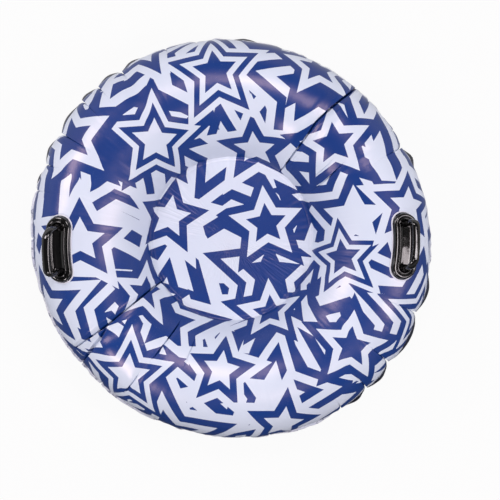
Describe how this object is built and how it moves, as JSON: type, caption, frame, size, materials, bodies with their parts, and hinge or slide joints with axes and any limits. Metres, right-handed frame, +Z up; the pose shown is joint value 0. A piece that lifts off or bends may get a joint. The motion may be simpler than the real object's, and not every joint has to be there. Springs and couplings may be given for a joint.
{
  "type": "inflatable snow tube",
  "caption": "Round inflatable ring sled: welded vinyl skins, a closed sheet seat in the middle, moulded grab handles at the sides and a hinged two-way valve underneath.",
  "frame": {"origin": "on the ground under the middle of the tube", "axes": "+Z up through the seat, the handles at -X and +X, the rider facing -Y"},
  "size_m": [1.005, 1.0036, 0.2707],
  "materials": {
    "printed_vinyl": "semi-gloss printed sheet",
    "dark_vinyl": "fine-grained satin sheet",
    "seam_vinyl": "melted semi-gloss weld",
    "white_vinyl": "semi-gloss sheet",
    "black_moulding": "glossy moulded",
    "valve_plastic": "soft moulded",
    "clear_vinyl": "milky sheet"
  },
  "bodies": {
    "tube": {"upper_skin": "printed_vinyl", "lower_skin": "dark_vinyl", "outer_seam": "seam_vinyl", "seat_weld": "seam_vinyl", "seat_top_sheet": "printed_vinyl", "seat_bottom_sheet": "dark_vinyl", "left_handle_patch": "white_vinyl", "left_handle_dish": "black_moulding", "left_handle_grip": "black_moulding", "right_handle_patch": "white_vinyl", "right_handle_dish": "black_moulding", "right_handle_grip": "black_moulding", "valve_flange": "clear_vinyl", "valve_neck": "valve_plastic", "plug_tether_ring": "valve_plastic"},
    "plug": {"deflation_plug": "valve_plastic", "flap_clip": "valve_plastic"},
    "cap": {"inflation_cap": "valve_plastic"},
    "flap": {"check_flap": "clear_vinyl"}
  },
  "joints": [
    {"name": "plug_hinge", "type": "hinge", "parent": "tube", "child": "plug", "pos_m": [-0.02623, 0.24582, 0.0465], "axis": [-0.0019, 0.718, -0.696], "range_deg": [0, 150]},
    {"name": "cap_hinge", "type": "hinge", "parent": "plug", "child": "cap", "pos_m": [0.01175, 0.24185, 0.0423], "axis": [0.0019, -0.718, 0.696], "range_deg": [0, 150]},
    {"name": "flap_hinge", "type": "hinge", "parent": "plug", "child": "flap", "pos_m": [0.00002, 0.25941, 0.05154], "axis": [-1, 0.0019, 0.0046], "range_deg": [0, 50], "stiffness_Nm_per_rad": 0.0001, "springref_deg": -8.59}
  ]
}
